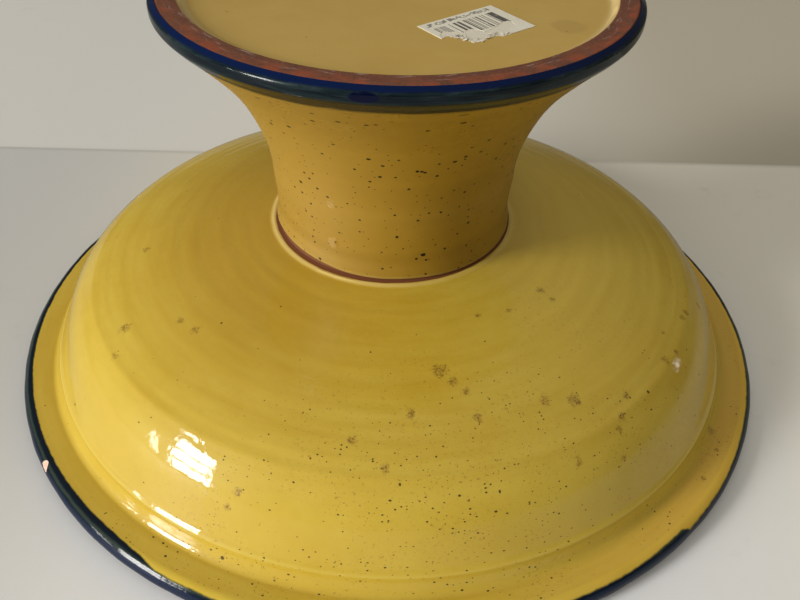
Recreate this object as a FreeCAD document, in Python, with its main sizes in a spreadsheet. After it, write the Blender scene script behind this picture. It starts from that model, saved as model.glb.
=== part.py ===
import FreeCAD, Part
import math
import operator
import os
import Sketcher
from types import SimpleNamespace

# A footed bowl of glazed earthenware, standing upside down on its lip as it was photographed.
# The turning axis is Z, the ground is z = 0, lengths are millimetres and angles are degrees.

SIZES = {
    # Lip: the rolled edge of the bowl, which meets the ground in this pose
    "rim_radius": 190.0,
    "lip_depth": 5.6,
    "lip_thickness": 10.6,
    "lip_round": 5.0,
    # Brim: the flat border between the lip and the bowl's wall
    "brim_width": 10.6,
    "brim_lift": 1.4,
    "brim_root_round": 4.5,
    "mouth_round": 5.0,
    # Bowl: a domed floor, a rounded shoulder and a leaning wall of even thickness
    "clay_wall": 8.0,
    "crown_height": 80.6,
    "crown_radius": 411.0,
    "shoulder_radius": 38.0,
    "wall_angle": 66.5,
    # Bead: the throwing ring left round the foot of the wall
    "bead_height": 18.8,
    "bead_radius": 2.4,
    "bead_relief": 0.7,
    # Seam: the bare line of slip that joins the pedestal to the bowl
    "seam_radius": 56.4,
    "seam_thickness": 2.0,
    "seam_recess": 0.5,
    # Pedestal stem: a hollow trumpet with an even wall
    "stem_taper": 1.0,
    "stem_wall": 8.0,
    "stem_edge_round": 1.4,
    "flare_angle": 46.5,
    "flare_radius": 130.0,
    # Foot: a closed plate inside a bare ring, with a rounded blue band outside it
    "foot_height": 191.1,
    "foot_radius": 102.0,
    "foot_thickness": 9.0,
    "band_depth": 2.8,
    "band_slope": 3.2,
    "band_fall": 2.2,
    "band_top_round": 1.2,
    "band_side_round": 3.0,
    "ring_width": 8.8,
    "ring_edge_round": 0.8,
    "recess_depth": 3.0,
    "cove_rise": 2.2,
    "cove_round": 2.0,
    # Label: paper, with one corner torn away, stuck on the foot plate
    "label_length": 37.6,
    "label_width": 25.6,
    "label_paper": 0.2,
    "tear_length": 21.0,
    "tear_height": 11.0,
    "label_across": 23.6,
    "label_away": -62.1,
    "label_turn": 38.2,
}

# Where the torn edge turns, as shares of the tear's length and height
TORN_EDGE = [(0.28, 1.33), (0.33, 0.85), (0.36, 0.1), (0.8, 0.28)]

OPERATIONS = {"+": operator.add, "-": operator.sub, "*": operator.mul, "/": operator.truediv}


class Size:
    """A number together with the way the sheet spells it, so that one formula serves both."""

    def __init__(self, value, text):
        self.value = value
        self.text = text

    def joined(self, sign, other):
        other = other if isinstance(other, Size) else Size(other, str(other))
        return Size(OPERATIONS[sign](self.value, other.value), f"({self.text} {sign} {other.text})")

    def __add__(self, other):
        return self.joined("+", other)

    def __sub__(self, other):
        return self.joined("-", other)

    def __mul__(self, other):
        return self.joined("*", other)

    def __truediv__(self, other):
        return self.joined("/", other)

    def at_most(self, limit):
        return Size(min(self.value, limit.value), f"min({self.text}; {limit.text})")

    def root(self):
        return Size(math.sqrt(self.value), f"sqrt({self.text})")

    def sine(self):
        return Size(math.sin(math.radians(self.value)), f"sin({self.text})")

    def tangent(self):
        return Size(math.tan(math.radians(self.value)), f"tan({self.text})")


ON_AXIS = AT_SURFACE = Size(0.0, "0")
RIGHT_ANGLE = Size(90.0, "90")
HALF_TURN = Size(180.0, "180")

doc = FreeCAD.newDocument("footed_bowl")
sheet = doc.addObject("Spreadsheet::Sheet", "Sizes")
for row, (name, number) in enumerate(SIZES.items(), start=1):
    sheet.set(f"A{row}", name)
    sheet.set(f"B{row}", str(number))
    sheet.setAlias(f"B{row}", name)
doc.recompute()
size = SimpleNamespace(**{name: Size(number, f"Sizes.{name}") for name, number in SIZES.items()})


def dome_height(radius):
    """Height of the bowl's outer dome at a radius from the axis."""
    drop = size.crown_radius - (size.crown_radius * size.crown_radius - radius * radius).root()
    return size.crown_height - drop


# Places where pieces meet, shared by both neighbours
lip_seat = size.rim_radius - size.lip_depth
wall_foot = lip_seat - size.brim_width
seam_outer = size.seam_radius - size.seam_recess
stem_base = dome_height(seam_outer) + size.seam_thickness
foot_under = size.foot_height - size.foot_thickness
plate_top = size.foot_height - size.recess_depth
ring_outer = size.foot_radius - size.band_depth
ring_inner = ring_outer - size.ring_width

# Point numbers of a sketch element, and the sketch's own axes and origin
START, END, CENTRE = range(1, 4)
VERTICAL_AXIS, HORIZONTAL_AXIS = range(-2, 0)
ORIGIN = (HORIZONTAL_AXIS, START)

# Two places closer than this are the same corner
SAME_PLACE = 1e-4


def new_body(label):
    body = doc.addObject("PartDesign::Body", label)
    body.Label = label
    return body


def new_sketch(body, name, plane):
    sketch = body.newObject("Sketcher::SketchObject", name)
    support = [part for part in body.Origin.OriginFeatures if part.Role == plane]
    sketch.AttachmentSupport = [(support[0], "")]
    sketch.MapMode = "FlatFace"
    return sketch


def closed_chain(sketch, elements):
    """Add elements given as (curve, first point, last point) and join them end to start."""
    for curve, first, last in elements:
        sketch.addGeometry(curve)
    for place, (curve, first, last) in enumerate(elements):
        after = (place + 1) % len(elements)
        sketch.addConstraint(Sketcher.Constraint("Coincident", place, last, after, elements[after][1]))


def line(start, end):
    return Part.LineSegment(FreeCAD.Vector(*start, 0), FreeCAD.Vector(*end, 0)), START, END


def axis_arc(radius, centre_height, outer, inner):
    """Arc centred on the axis, running up from the outer radius to the inner one."""
    circle = Part.Circle(FreeCAD.Vector(0, centre_height, 0), FreeCAD.Vector(0, 0, 1), radius)
    return Part.ArcOfCircle(circle, math.acos(outer / radius), math.acos(inner / radius))


def bound(sketch, kind, where, target):
    """Add one dimension and tie it to the sheet."""
    index = sketch.addConstraint(Sketcher.Constraint(kind, *where, target.value))
    sketch.setExpression(f"Constraints[{index}]", target.text)


def bound_angle(sketch, element, target):
    index = sketch.addConstraint(Sketcher.Constraint("Angle", element, math.radians(target.value)))
    sketch.setExpression(f"Constraints[{index}]", f"({target.text}) * 1 deg")


def pinned(sketch, element, point, across, up):
    """Hold a point at its distances from the sketch's origin."""
    for kind, axis, target in (("DistanceX", VERTICAL_AXIS, across), ("DistanceY", HORIZONTAL_AXIS, up)):
        if target is ON_AXIS:
            sketch.addConstraint(Sketcher.Constraint("PointOnObject", element, point, axis))
        else:
            bound(sketch, kind, (*ORIGIN, element, point), target)


def turned(body, sketch, name):
    """Turn a half section once round the axis."""
    solid = body.newObject("PartDesign::Revolution", name)
    solid.Profile = sketch
    solid.ReferenceAxis = (sketch, ["V_Axis"])
    solid.Angle = 360.0
    doc.recompute()


def rounded(body, name, radius, corners):
    """Round the circular edges that run through the given (radius, height) corners."""
    before = body.Tip
    edges = []
    for number, edge in enumerate(before.Shape.Edges, start=1):
        point = edge.Vertexes[0].Point
        place = (math.hypot(point.x, point.y), point.z)
        if any(math.dist(place, corner) < SAME_PLACE for corner in corners):
            edges.append(f"Edge{number}")
    fillet = body.newObject("PartDesign::Fillet", name)
    fillet.Base = (before, edges)
    fillet.Radius = radius.value
    fillet.setExpression("Radius", radius.text)
    doc.recompute()


def corner_of(sketch, element, point):
    place = sketch.getPoint(element, point)
    return place.x, place.y


def pinned_outline(sketch, corners):
    """Straight edges through corners given as (across, up) sizes."""
    places = [(across.value, up.value) for across, up in corners]
    closed_chain(sketch, [line(a, b) for a, b in zip(places, places[1:] + places[:1])])
    for element, (across, up) in enumerate(corners):
        pinned(sketch, element, START, across, up)
    return places


def turned_ring(label, corners, rounds):
    """A body turned from straight edges through pinned corners, some of them rounded."""
    body = new_body(label)
    sketch = new_sketch(body, f"{label}_section", "XZ_Plane")
    places = pinned_outline(sketch, corners)
    turned(body, sketch, f"{label}_turned")
    for number, (radius, chosen) in enumerate(rounds):
        rounded(body, f"{label}_round_{number}", radius, [places[index] for index in chosen])
    return body


def wall_meets_crown(foot, radius, centre_height):
    """Where a wall leaning inwards from its foot runs into a crown centred on the axis."""
    lean = math.radians(180.0 - size.wall_angle.value)
    ahead = (math.cos(lean), math.sin(lean))
    offset = (foot[0], foot[1] - centre_height)
    along = offset[0] * ahead[0] + offset[1] * ahead[1]
    beyond = offset[0] ** 2 + offset[1] ** 2 - radius ** 2
    reach = -along + math.sqrt(along ** 2 - beyond)
    return foot[0] + reach * ahead[0], foot[1] + reach * ahead[1]


def bowl():
    """The thrown shell: domed floor, shoulder, leaning wall with its ring, and flat brim."""
    body = new_body("bowl")
    sketch = new_sketch(body, "bowl_section", "XZ_Plane")
    inner_radius = size.crown_radius - size.clay_wall
    centre_height = size.crown_height.value - size.crown_radius.value
    lean = math.radians(size.wall_angle.value)
    foot = (wall_foot.value, size.lip_thickness.value)
    drop = foot[1] - size.brim_lift.value
    mouth = (foot[0] - size.clay_wall.value / math.sin(lean) + drop / math.tan(lean), size.brim_lift.value)
    shoulder = wall_meets_crown(foot, size.crown_radius.value, centre_height)
    hollow = wall_meets_crown(mouth, inner_radius.value, centre_height)
    crown = (0.0, size.crown_height.value)
    ceiling = (0.0, size.crown_height.value - size.clay_wall.value)
    brim_top = (lip_seat.value, foot[1])
    brim_low = (lip_seat.value, mouth[1])
    outer_arc = axis_arc(size.crown_radius.value, centre_height, shoulder[0], 0.0)
    inner_arc = axis_arc(inner_radius.value, centre_height, hollow[0], 0.0)
    closed_chain(sketch, [
        (outer_arc, START, END),
        line(crown, ceiling),
        (inner_arc, END, START),
        (line(mouth, hollow)[0], END, START),
        line(mouth, brim_low),
        line(brim_low, brim_top),
        line(brim_top, foot),
        line(foot, shoulder),
    ])
    outer, axis, inner, inner_wall, brim_under, brim_end, brim, wall = range(8)
    pinned(sketch, outer, END, ON_AXIS, size.crown_height)
    sketch.addConstraint(Sketcher.Constraint("PointOnObject", outer, CENTRE, VERTICAL_AXIS))
    bound(sketch, "Radius", (outer,), size.crown_radius)
    sketch.addConstraint(Sketcher.Constraint("Coincident", inner, CENTRE, outer, CENTRE))
    sketch.addConstraint(Sketcher.Constraint("PointOnObject", inner, END, VERTICAL_AXIS))
    bound(sketch, "Radius", (inner,), inner_radius)
    pinned(sketch, wall, START, wall_foot, size.lip_thickness)
    pinned(sketch, brim_end, START, lip_seat, size.brim_lift)
    sketch.addConstraint(Sketcher.Constraint("Vertical", brim_end))
    sketch.addConstraint(Sketcher.Constraint("Horizontal", brim))
    sketch.addConstraint(Sketcher.Constraint("Horizontal", brim_under))
    bound_angle(sketch, wall, HALF_TURN - size.wall_angle)
    sketch.addConstraint(Sketcher.Constraint("Parallel", inner_wall, wall))
    bound(sketch, "Distance", (wall, START, inner_wall), size.clay_wall)
    turned(body, sketch, "bowl_turned")
    rounded(body, "shoulder", size.shoulder_radius, [corner_of(sketch, wall, END)])
    rounded(body, "hollow", size.shoulder_radius - size.clay_wall, [corner_of(sketch, inner_wall, END)])
    rounded(body, "brim_root", size.brim_root_round, [corner_of(sketch, wall, START)])
    rounded(body, "mouth", size.mouth_round, [corner_of(sketch, inner_wall, START)])

    throwing_ring(body)
    return body


def throwing_ring(body):
    """A bead sunk in the bowl's wall until only its relief stands out."""
    sketch = new_sketch(body, "bead_section", "XZ_Plane")
    rise = size.bead_height - size.lip_thickness
    sunk = size.bead_radius - size.bead_relief
    across = wall_foot - rise / size.wall_angle.tangent() - sunk / size.wall_angle.sine()
    middle = FreeCAD.Vector(across.value, size.bead_height.value, 0)
    sketch.addGeometry(Part.Circle(middle, FreeCAD.Vector(0, 0, 1), size.bead_radius.value))
    pinned(sketch, 0, CENTRE, across, size.bead_height)
    bound(sketch, "Radius", (0,), size.bead_radius)
    turned(body, sketch, "throwing_ring")


def rim_lip():
    """The rolled lip round the brim, rounded outside and flat where it meets the brim."""
    corners = [
        (lip_seat, ON_AXIS),
        (size.rim_radius, ON_AXIS),
        (size.rim_radius, size.lip_thickness),
        (lip_seat, size.lip_thickness),
    ]
    return turned_ring("rim_lip", corners, [(size.lip_round, (1, 2))])


def seam_ring():
    """The line of bare slip between the dome and the pedestal, a little inside both."""
    body = new_body("seam_ring")
    sketch = new_sketch(body, "seam_section", "XZ_Plane")
    inner = size.seam_radius - size.stem_wall
    centre_height = size.crown_height.value - size.crown_radius.value
    under = axis_arc(size.crown_radius.value, centre_height, seam_outer.value, inner.value)
    low_inner = (inner.value, dome_height(inner).value)
    low_outer = (seam_outer.value, dome_height(seam_outer).value)
    high_inner = (inner.value, stem_base.value)
    high_outer = (seam_outer.value, stem_base.value)
    closed_chain(sketch, [
        (under, START, END),
        line(low_inner, high_inner),
        line(high_inner, high_outer),
        line(high_outer, low_outer),
    ])
    dome, inside, top, outside = range(4)
    pinned(sketch, inside, START, inner, dome_height(inner))
    pinned(sketch, inside, END, inner, stem_base)
    pinned(sketch, outside, START, seam_outer, stem_base)
    pinned(sketch, outside, END, seam_outer, dome_height(seam_outer))
    bound(sketch, "Radius", (dome,), size.crown_radius)
    turned(body, sketch, "seam_turned")
    return body


def flare_bend(radius, depth):
    """A bend of the trumpet at a depth in its wall, held to what its cone and its waist leave free."""
    height = foot_under - stem_base
    steep = size.flare_angle.tangent()
    rise = (size.seam_radius - ring_outer + height * steep) / (steep - size.stem_taper.tangent())
    half_bend = ((size.flare_angle - size.stem_taper) / 2).tangent()
    cone = (height - rise) / (RIGHT_ANGLE - size.flare_angle).sine()
    cone_room = cone - depth * (steep - half_bend) - size.stem_edge_round
    waist_room = rise - size.stem_edge_round * 2
    return radius.at_most(cone_room / half_bend).at_most(waist_room / half_bend)


def pedestal_stem():
    """The thrown trumpet: a slow taper that sweeps out to the foot, hollow inside."""
    body = new_body("pedestal_stem")
    sketch = new_sketch(body, "stem_section", "XZ_Plane")
    taper = math.radians(size.stem_taper.value)
    flare = math.radians(size.flare_angle.value)
    wall = size.stem_wall.value
    base = (size.seam_radius.value, stem_base.value)
    top = (ring_outer.value, foot_under.value)
    height = top[1] - base[1]
    rise = (base[0] - top[0] + height * math.tan(flare)) / (math.tan(flare) - math.tan(taper))
    knee = (base[0] + rise * math.tan(taper), base[1] + rise)
    inner_base = (base[0] - wall / math.cos(taper), base[1])
    inner_top = (top[0] - wall / math.cos(flare), top[1])
    half = (flare - taper) / 2
    lean = (flare + taper) / 2
    depth = wall / math.cos(half)
    inner_knee = (knee[0] - depth * math.cos(lean), knee[1] + depth * math.sin(lean))
    closed_chain(sketch, [
        line(base, knee),
        line(knee, top),
        line(top, inner_top),
        line(inner_top, inner_knee),
        line(inner_knee, inner_base),
        line(inner_base, base),
    ])
    outside, cone, upper, inner_cone, inside, lower = range(6)
    pinned(sketch, outside, START, size.seam_radius, stem_base)
    pinned(sketch, cone, END, ring_outer, foot_under)
    bound_angle(sketch, outside, RIGHT_ANGLE - size.stem_taper)
    bound_angle(sketch, cone, RIGHT_ANGLE - size.flare_angle)
    for offset, partner in ((inner_cone, cone), (inside, outside)):
        sketch.addConstraint(Sketcher.Constraint("Parallel", offset, partner))
        bound(sketch, "Distance", (partner, START, offset), size.stem_wall)
    sketch.addConstraint(Sketcher.Constraint("Horizontal", upper))
    sketch.addConstraint(Sketcher.Constraint("Horizontal", lower))
    turned(body, sketch, "stem_turned")
    rounded(body, "flare", flare_bend(size.flare_radius, AT_SURFACE), [corner_of(sketch, outside, END)])
    inner_bend = flare_bend(size.flare_radius + size.stem_wall, size.stem_wall)
    rounded(body, "inner_flare", inner_bend, [corner_of(sketch, inside, START)])
    rounded(body, "stem_edge", size.stem_edge_round, [corner_of(sketch, outside, START)])
    return body


def foot_plate():
    """The closed bottom of the pedestal, set back in the ring with a cove round it."""
    cove_top = plate_top + size.cove_rise
    cove_edge = ring_inner - size.cove_rise
    corners = [
        (ON_AXIS, foot_under),
        (ring_inner, foot_under),
        (ring_inner, cove_top),
        (cove_edge, plate_top),
        (ON_AXIS, plate_top),
    ]
    return turned_ring("foot_plate", corners, [(size.cove_round, (3,))])


def foot_ring():
    """The bare clay ring that the bowl stands on in use."""
    corners = [
        (ring_inner, foot_under),
        (ring_outer, foot_under),
        (ring_outer, size.foot_height),
        (ring_inner, size.foot_height),
    ]
    return turned_ring("foot_ring", corners, [(size.ring_edge_round, (2, 3))])


def foot_band():
    """The blue band round the foot, bulging out between the ring and the flare."""
    corners = [
        (ring_outer, foot_under),
        (size.foot_radius, foot_under + size.band_slope),
        (size.foot_radius, size.foot_height - size.band_fall),
        (ring_outer, size.foot_height),
    ]
    rounds = [(size.band_top_round, (2,)), (size.band_side_round, (1,))]
    return turned_ring("foot_band", corners, rounds)


def price_label():
    """A paper label with three square corners and the fourth torn away."""
    body = new_body("price_label")
    sketch = new_sketch(body, "label_outline", "XY_Plane")
    corners = [
        (ON_AXIS, size.label_width),
        (ON_AXIS, size.tear_height),
        *[(size.tear_length * along, size.tear_height * up) for along, up in TORN_EDGE],
        (size.tear_length, ON_AXIS),
        (size.label_length, ON_AXIS),
        (size.label_length, size.label_width),
    ]
    pinned_outline(sketch, corners)
    paper = body.newObject("PartDesign::Pad", "label_paper")
    paper.Profile = sketch
    paper.Length = size.label_paper.value
    paper.setExpression("Length", size.label_paper.text)
    turn = FreeCAD.Rotation(FreeCAD.Vector(0, 0, 1), size.label_turn.value)
    body.Placement = FreeCAD.Placement(FreeCAD.Vector(), turn)
    body.setExpression("Placement.Rotation.Angle", f"{size.label_turn.text} * 1 deg")
    body.setExpression("Placement.Base.x", size.label_across.text)
    body.setExpression("Placement.Base.y", size.label_away.text)
    body.setExpression("Placement.Base.z", plate_top.text)
    doc.recompute()
    return body


def check_and_write(bodies):
    """Refuse a failed document, then write one file for each piece."""
    doc.recompute()
    for item in doc.Objects:
        if "Invalid" in item.State or "Error" in item.State:
            raise RuntimeError(f"{item.Label} failed: {item.State}")
    for body in bodies:
        if body.Shape.isNull() or not body.Shape.isValid() or len(body.Shape.Solids) != 1:
            raise RuntimeError(f"{body.Label} is not one sound solid")
    os.makedirs("parts", exist_ok=True)
    for body in bodies:
        body.Shape.exportStep(os.path.join("parts", f"{body.Label}.step"))
        box = body.Shape.BoundBox
        print(f"{body.Label}: {body.Shape.Volume / 1000:.1f} cm3, z {box.ZMin:.2f} to {box.ZMax:.2f}")


check_and_write([
    bowl(),
    rim_lip(),
    seam_ring(),
    pedestal_stem(),
    foot_plate(),
    foot_ring(),
    foot_band(),
    price_label(),
])
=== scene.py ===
import math
import bmesh
import bpy
import numpy as np
from mathutils import Matrix, Quaternion, Vector
from mathutils.geometry import tessellate_polygon


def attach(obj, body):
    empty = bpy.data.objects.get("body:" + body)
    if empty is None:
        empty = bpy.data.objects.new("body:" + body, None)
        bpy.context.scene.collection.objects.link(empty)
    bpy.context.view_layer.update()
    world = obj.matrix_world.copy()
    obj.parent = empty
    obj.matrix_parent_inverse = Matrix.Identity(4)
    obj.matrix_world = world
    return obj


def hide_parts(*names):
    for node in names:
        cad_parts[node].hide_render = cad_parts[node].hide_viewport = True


# A footed bowl of yellow glazed earthenware, upside down on its blue lip.
# Sizes are millimetres and angles are degrees, turned into metres and radians where meshes are made.

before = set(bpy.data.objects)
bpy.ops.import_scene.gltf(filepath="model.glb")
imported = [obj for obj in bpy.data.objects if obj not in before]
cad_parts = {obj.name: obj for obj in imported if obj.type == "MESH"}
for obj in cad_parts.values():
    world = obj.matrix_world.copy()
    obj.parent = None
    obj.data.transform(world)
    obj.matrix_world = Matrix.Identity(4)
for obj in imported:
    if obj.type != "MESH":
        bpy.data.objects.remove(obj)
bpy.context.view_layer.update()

MM = 0.001
ARRIS_ANGLE = 38

# The bowl's wall
CROWN_HEIGHT = 80.6
CROWN_RADIUS = 411.0
CLAY_WALL = 8.0
SHOULDER_RADIUS = 38.0
WALL_ANGLE = 66.5
WALL_FOOT = 173.8
BRIM_HEIGHT = 10.6
BRIM_UNDER = 1.4
BRIM_ROOT_ROUND = 4.5
MOUTH_ROUND = 5.0
LIP_SEAT = 184.4
LIP_ROUND = 5.0
RIM_RADIUS = 190.0
BEAD_HEIGHT = 18.8
BEAD_RELIEF = 0.7
BEAD_WIDTH = 1.5
GLAZE_ROLL = 0.5
GLAZE_GROOVE = 0.25

# The pedestal
SEAM_RADIUS = 56.4
STEM_BASE = 78.78
CLAY_RADIUS = 55.9
STEM_WALL = 8.0
STEM_TAPER = 1.0
FLARE_ANGLE = 46.5
FLARE_RADIUS = 130.0
INNER_FLARE_RADIUS = 120.0
STEM_TRIM = 2.4
TRIM_HEIGHT = 136.0
TRIM_REACH = 30.0
WAIST_HEIGHT = 91.0
WAIST_REACH = 10.0
WAIST_RELIEF = 0.75
BASE_REACH = 5.5
GLAZE_EDGE = 0.5
GLAZE_EDGE_ROUND = 1.1
GLAZE_STANDOFF = 0.1

# The foot
FOOT_UNDER = 182.1
FOOT_HEIGHT = 191.1
FOOT_RADIUS = 102.0
RING_OUTER = 99.2
RING_INNER = 90.4
RING_EDGE_ROUND = 0.8
PLATE_TOP = 188.1
COVE_TOP = 190.3
COVE_ROUND = 2.0
BAND_FALL = 2.2
BAND_SLOPE = 3.2
BAND_TOP_ROUND = 1.2
BAND_SIDE_ROUND = 3.0

# Throwing rings left by the fingers: wavelength, height and phase
DOME_RINGS = [(14.6, 0.035, 0.4), (10.3, 0.045, 2.1), (7.7, 0.04, 4.4), (23.0, 0.03, 1.0), (5.2, 0.018, 5.3)]
STEM_RINGS = [(17.0, 0.02, 0.9), (9.1, 0.012, 3.3), (6.3, 0.006, 1.7)]

# Two deeper rings on the shoulder: radius, height and width
SHOULDER_RINGS = [(148.7, 0.3, 1.5), (142.6, 0.12, 1.3)]

# Where the bare slip shows: angle, height of the stem's glaze edge and radius of the bowl's glaze edge
SEAM_EDGE = [(-180, 78.2, 57.6), (-155, 79.8, 57.9), (-140, 79.5, 58.1), (-125, 78.8, 58.2),
             (-110, 77.7, 58.2), (-95, 77.3, 58.2), (-80, 77.4, 58.0), (-65, 77.1, 57.9), (-40, 76.95, 57.7),
             (-15, 76.95, 57.6), (40, 77.4, 57.8), (95, 78.0, 58.1), (140, 77.6, 57.9), (180, 78.2, 57.6)]

# Where the blue begins on the lip, which was brushed on in overlapping strokes: angle and radius
BLUE_EDGE = [(-180, 185.1), (-166, 185.0), (-152, 184.6), (-136, 184.4), (-127, 184.6), (-122.5, 185.6),
             (-119.5, 187.5), (-105, 187.7), (-80, 187.9), (-58, 188.1), (-47.6, 187.3), (-46.9, 189.0),
             (-38, 188.5), (-24, 187.2), (-8, 186.9), (10, 185.6), (45, 186.2), (80, 185.3), (112, 186.9),
             (116, 185.0), (150, 185.4), (180, 185.1)]

# Where the band's blue ends on the stem, and where it thins on the band's slope
OVERRUN_EDGE = 179.3
NAVY_EDGE = 190.0

# The chip in the lip, half its length and height, and its depth
CHIP_ANGLE = -144.5
CHIP_HEIGHT = 7.6
CHIP_LENGTH = 2.7
CHIP_RISE = 2.3
CHIP_DEPTH = 1.1

# A blister in the stem's glaze
BLISTER_ANGLE = -116.3
BLISTER_HEIGHT = 92.7
BLISTER_RELIEF = 0.45
BLISTER_WIDTH = 1.1
BLISTER_RISE = 1.0
STEM_MM_PER_DEGREE = 1.02

# A dab of thicker blue on the foot's band, half its length and height
DAB_ANGLE = -95.8
DAB_HEIGHT = 187.6
DAB_LENGTH = 5.4
DAB_RISE = 1.9


# Lines and turned meshes

def arc(centre, radius, start, end, step):
    """Points along an arc, with angles counted from the outward direction."""
    count = max(3, math.ceil(abs(math.radians(end - start)) * radius / step) + 1)
    turn = np.radians(np.linspace(start, end, count))
    return np.stack([centre[0] + radius * np.cos(turn), centre[1] + radius * np.sin(turn)], 1)


def straight(start, end, step):
    """Points along a straight line."""
    start, end = np.array(start, float), np.array(end, float)
    count = max(2, math.ceil(np.linalg.norm(end - start) / step) + 1)
    return start + (end - start) * np.linspace(0, 1, count)[:, None]


def path(corners, step):
    """A line through (radius, height, rounding) corners, with its corners rounded."""
    runs = []
    last = np.array(corners[0][:2], float)
    for before, corner, after in zip(corners, corners[1:], corners[2:]):
        here = np.array(corner[:2], float)
        back = np.array(before[:2], float) - here
        ahead = np.array(after[:2], float) - here
        back /= np.linalg.norm(back)
        ahead /= np.linalg.norm(ahead)
        half = math.acos(float(np.clip(back @ ahead, -1, 1))) / 2
        rounding = corner[2]
        reach = rounding / math.tan(half)
        first, second = here + back * reach, here + ahead * reach
        runs.append(straight(last, first, step))
        if rounding:
            inward = (back + ahead) / np.linalg.norm(back + ahead)
            middle = here + inward * rounding / math.sin(half)
            start = math.degrees(math.atan2(*(first - middle)[::-1]))
            end = math.degrees(math.atan2(*(second - middle)[::-1]))
            turn = (end - start + 180) % 360 - 180
            runs.append(arc(middle, rounding, start, start + turn, min(step, rounding / 4)))
        last = second
    runs.append(straight(last, corners[-1][:2], step))
    return joined(runs)


def joined(runs):
    """Runs of points as one line, without the doubled ends."""
    points = np.concatenate(runs)
    keep = np.ones(len(points), bool)
    keep[1:] = np.linalg.norm(np.diff(points, axis=0), axis=1) > 1e-4
    return points[keep]


def ring_section(corners, step):
    """A closed section that starts and ends in the middle of its first side."""
    middle = ((corners[0][0] + corners[-1][0]) / 2, (corners[0][1] + corners[-1][1]) / 2, 0)
    return path([middle, *corners, middle], step)[:-1]


def angles(count, fine=()):
    """Angles round the axis, closer together in the fine (centre, half width, step) places."""
    turn = np.linspace(-180, 180, count, endpoint=False)
    for centre, half, step in fine:
        turn = turn[np.abs(turn - centre) > half]
        turn = np.concatenate([turn, np.arange(centre - half, centre + half + step / 2, step)])
    return np.radians(np.sort(turn))


def turned(name, section, turn, closed=True, relief=None):
    """A piece turned from a section that runs with its solid on the right hand."""
    if closed:
        along = np.roll(section, -1, 0) - np.roll(section, 1, 0)
    else:
        along = np.gradient(section, axis=0)
    along /= np.linalg.norm(along, axis=1)[:, None]
    facing = np.stack([-along[:, 1], along[:, 0]], 1)
    grid = np.repeat(section[None], len(turn), 0)
    if relief is not None:
        lift = relief(grid[..., 0], grid[..., 1], turn[:, None], facing[:, 1])
        grid = grid + facing * lift[..., None]
    return swept(name, grid, turn, closed)


def swept(name, grid, turn, closed=True):
    """A ring whose section may differ from angle to angle, or a body whose open ends meet on the axis."""
    rounds, rows = grid.shape[:2]
    spokes = np.stack([np.cos(turn), np.sin(turn)], 1)[:, None]
    points = np.concatenate([grid[..., :1] * spokes, grid[..., 1:]], 2) * MM
    number = np.arange(rounds * rows).reshape(rounds, rows)
    if closed:
        number = np.concatenate([number, number[:, :1]], 1)
    else:
        number[:, 0] = number[0, 0]
        number[:, -1] = number[0, -1]
    after = np.roll(number, -1, 0)
    corners = [number[:, :-1], number[:, 1:], after[:, 1:], after[:, :-1]]
    quads = np.stack([corner.ravel() for corner in corners], 1)
    used, place = np.unique(quads, return_inverse=True)
    faces = [list(dict.fromkeys(quad)) for quad in place.reshape(-1, 4).tolist()]
    mesh = bpy.data.meshes.new(name)
    mesh.from_pydata(points.reshape(-1, 3)[used].tolist(), [], faces)
    return settled(name, mesh)


def settled(name, mesh):
    """Smooth shading with crisp arrises, and a place in the scene."""
    mesh.shade_smooth()
    mesh.set_sharp_from_angle(angle=math.radians(ARRIS_ANGLE))
    return placed(name, mesh)


def placed(name, data):
    """A mesh, lamp or camera as an object in the scene."""
    piece = bpy.data.objects.new(name, data)
    bpy.context.scene.collection.objects.link(piece)
    return piece


def bump(distance, width):
    """1 at no distance, falling away over a width."""
    return np.exp(-(distance / width) ** 2)


def fade(value, low, high):
    """From 0 at low to 1 at high, either way round."""
    return np.clip((value - low) / (high - low), 0, 1)


def waves(rings, along):
    """Throwing rings as a height."""
    return sum(height * np.sin(2 * math.pi * along / length + phase) for length, height, phase in rings)


def around(table, column, turn):
    """A value from a table of angles, at angles in radians."""
    return np.interp(np.degrees(turn), [row[0] for row in table], [row[column] for row in table])


# Sections and reliefs of the pieces

def shoulder_centre():
    """The centre that the inner and outer shoulder curves share."""
    lean = math.radians(WALL_ANGLE)
    out, up = SHOULDER_RADIUS * math.sin(lean), SHOULDER_RADIUS * math.cos(lean)
    start = np.array([WALL_FOOT - out, BRIM_HEIGHT - up])
    ahead = np.array([-math.cos(lean), math.sin(lean)])
    offset = start - np.array([0, CROWN_HEIGHT - CROWN_RADIUS])
    along = offset @ ahead
    reach = -along + math.sqrt(along ** 2 - offset @ offset + (CROWN_RADIUS - SHOULDER_RADIUS) ** 2)
    return start + reach * ahead


def crown_at(radius):
    """The height of the bowl's crown at a radius."""
    return CROWN_HEIGHT - CROWN_RADIUS + math.sqrt(CROWN_RADIUS ** 2 - radius ** 2)


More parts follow.
